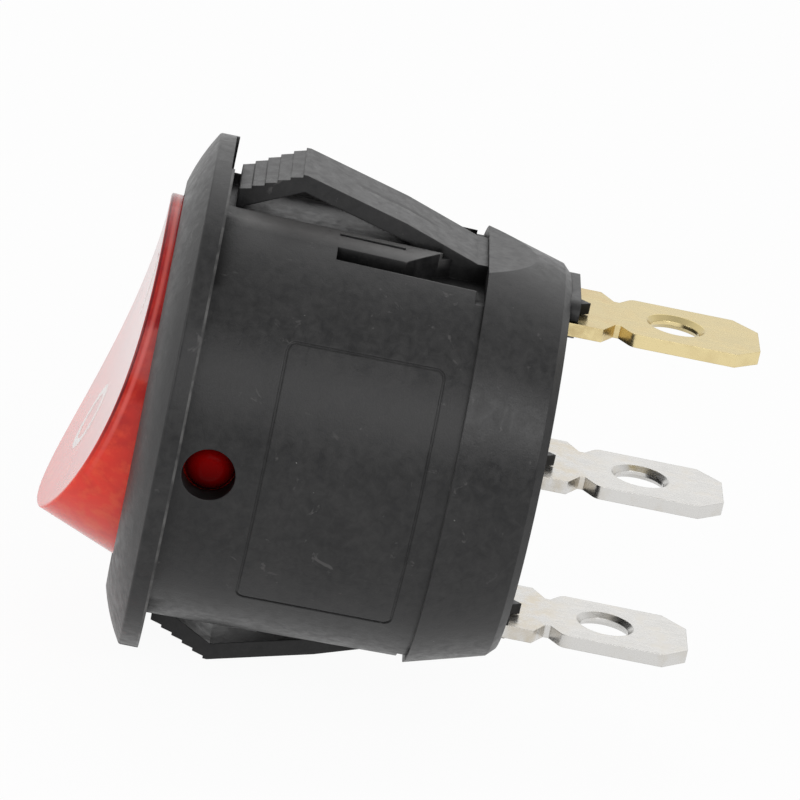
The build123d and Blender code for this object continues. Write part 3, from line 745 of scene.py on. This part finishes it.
def markInk():
    look = markLook
    material, tree, shader = newMaterial("white mark ink")
    cloud = noise(tree, placeInMm(tree), *look["cloud"])
    share = spread(tree, cloud, *look["thinRange"])
    rough = spread(tree, cloud, *look["roughRange"], *look["rough"])
    tree.links.new(mixColour(tree, share, look["white"], look["thin"]), shader.inputs["Base Color"])
    tree.links.new(rough, shader.inputs["Roughness"])
    shader.inputs["Coat Weight"].default_value = look["coat"]
    shader.inputs["Coat Roughness"].default_value = look["coatRoughness"]
    tree.links.new(bump(tree, cloud, look["depth"]), shader.inputs["Normal"])
    return material


def marks():
    sizes = markSizes
    ink = markInk()
    half = sizes["line"] / 2
    across = (-half - sizes["ramp"], -half, half, half + sizes["ramp"])
    middle = sizes["ringRadius"] - half
    turns = [math.tau * i / sizes["ringSteps"] for i in range(sizes["ringSteps"])]
    circles = [
        [(r * math.cos(t), sizes["ringAt"] + r * math.sin(t)) for t in turns]
        for r in (middle + offset for offset in across)
    ]
    offMark = inkLine("off_mark", circles, True)
    step = 2 * sizes["barHalf"] / sizes["barSteps"]
    steps = [sizes["barAt"] - sizes["barHalf"] + step * i for i in range(sizes["barSteps"] + 1)]
    onMark = inkLine("on_mark", [[(offset, v) for v in steps] for offset in across], False)
    for piece in (offMark, onMark):
        piece.data.materials.append(ink)
        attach(piece, "rocker_body")


marks()
print("marks made")


# Studio: white floor and surroundings, soft lamps, and the camera of the photograph
studio = {
    "floorSize": 6.0,
    "floorPaper": 0.9,
    "floorRough": 0.9,
    "floorShow": 0.95,
    "floorMirror": 0.72,
    "ambient": 0.5,
    "brightSide": (-1.0, 0.0, 0.45),
    "brightRange": (-0.2, 0.6),
    "dimLevel": 0.46,
    "lamps": (
        ("back softbox", (-0.28, 0.00, 0.36), 0.40, 0.40),
        ("camera side", (0.46, 0.04, 0.26), 0.34, 0.54),
        ("tab side", (0.30, 0.27, 0.25), 0.22, 0.50),
        ("rocker side", (0.20, -0.42, 0.16), 0.26, 0.58),
    ),
    "aimY": 8.0,
}
cameraView = {
    "distance": 237.0,
    "turn": 2.82,
    "height": 19.57,
    "roll": 12.30,
    "pxPerMm": 22.60,
    "framePx": 800,
    "aimPx": (366.1, 427.5),
    "sensor": 36.0,
    "clipStart": 0.01,
}


def shownWhite(tree):
    rays = tree.nodes.new("ShaderNodeLightPath")
    seen = sums(tree, "MAXIMUM", rays.outputs["Is Camera Ray"], rays.outputs["Is Transmission Ray"])
    mirrored = sums(tree, "MULTIPLY", rays.outputs["Is Glossy Ray"], studio["floorMirror"])
    return sums(tree, "MAXIMUM", sums(tree, "MULTIPLY", seen, studio["floorShow"]), mirrored)


def makeFloor():
    half = studio["floorSize"] / 2
    mesh = bpy.data.meshes.new("floor")
    z = cadLow.z
    corners = [(-half, -half, z), (half, -half, z), (half, half, z), (-half, half, z)]
    mesh.from_pydata(corners, [], [(0, 1, 2, 3)])
    floor = bpy.data.objects.new("floor", mesh)
    bpy.context.scene.collection.objects.link(floor)
    material, tree, shader = newMaterial("white paper")
    shader.inputs["Base Color"].default_value = [studio["floorPaper"]] * 3 + [1]
    shader.inputs["Roughness"].default_value = studio["floorRough"]
    shader.inputs["Specular IOR Level"].default_value = 0.0
    glow = tree.nodes.new("ShaderNodeEmission")
    mixing = tree.nodes.new("ShaderNodeMixShader")
    tree.links.new(shownWhite(tree), mixing.inputs["Fac"])
    tree.links.new(shader.outputs["BSDF"], mixing.inputs[1])
    tree.links.new(glow.outputs["Emission"], mixing.inputs[2])
    output = next(n for n in tree.nodes if n.type == "OUTPUT_MATERIAL")
    tree.links.new(mixing.outputs["Shader"], output.inputs["Surface"])
    mesh.materials.append(material)


def makeWorld():
    world = bpy.data.worlds.new("white studio")
    world.use_nodes = True
    tree = world.node_tree
    background = next(n for n in tree.nodes if n.type == "BACKGROUND")
    background.inputs["Color"].default_value = (1, 1, 1, 1)
    # Behind the part the room is white, and it grows greyer round to the camera's side
    brightness = towards(tree, "Generated", Vector(studio["brightSide"]).normalized())
    room = spread(tree, brightness, *studio["brightRange"], studio["dimLevel"], 1.0)
    rays = tree.nodes.new("ShaderNodeLightPath")
    soft = sums(tree, "MULTIPLY", room, studio["ambient"])
    glossy = sums(tree, "MULTIPLY", room, rays.outputs["Is Glossy Ray"])
    strength = sums(tree, "MAXIMUM", soft, glossy)
    strength = sums(tree, "MAXIMUM", strength, rays.outputs["Is Camera Ray"])
    strength = sums(tree, "MAXIMUM", strength, rays.outputs["Is Transmission Ray"])
    tree.links.new(strength, background.inputs["Strength"])
    bpy.context.scene.world = world


def makeLamps():
    aim = Vector((0, studio["aimY"] * mm, 0))
    for name, place, size, power in studio["lamps"]:
        data = bpy.data.lights.new(name, "AREA")
        data.size = size
        data.energy = power
        lamp = bpy.data.objects.new(name, data)
        lamp.location = place
        lamp.rotation_euler = (Vector(place) - aim).to_track_quat("Z", "Y").to_euler()
        bpy.context.scene.collection.objects.link(lamp)


def makeCamera():
    view = cameraView
    turn, height, roll = (math.radians(view[k]) for k in ("turn", "height", "roll"))
    flat = math.cos(height)
    back = Vector((math.cos(turn) * flat, -math.sin(turn) * flat, math.sin(height)))
    level = Vector((0, 0, 1)).cross(back).normalized()
    upright = back.cross(level)
    right = level * math.cos(roll) + upright * math.sin(roll)
    up = back.cross(right)
    target = Vector((0, studio["aimY"] * mm, 0))
    spot = target + back * view["distance"] * mm
    offX = (view["framePx"] / 2 - view["aimPx"][0]) / view["pxPerMm"]
    offY = (view["aimPx"][1] - view["framePx"] / 2) / view["pxPerMm"]
    aim = target + (right * offX + up * offY) * mm  # the middle of the frame
    back = (spot - aim).normalized()
    right = (right - back * right.dot(back)).normalized()
    up = back.cross(right)
    data = bpy.data.cameras.new("camera")
    data.sensor_width = view["sensor"]
    data.lens = view["sensor"] * view["pxPerMm"] * view["distance"] / view["framePx"]
    data.clip_start = view["clipStart"]
    camera = bpy.data.objects.new("camera", data)
    rows = Matrix((right, up, back)).transposed().to_4x4()
    camera.matrix_world = Matrix.Translation(spot) @ rows
    bpy.context.scene.collection.objects.link(camera)
    bpy.context.scene.camera = camera


makeFloor()
makeWorld()
makeLamps()
makeCamera()
bpy.context.scene.view_settings.view_transform = "Standard"
print("studio made")
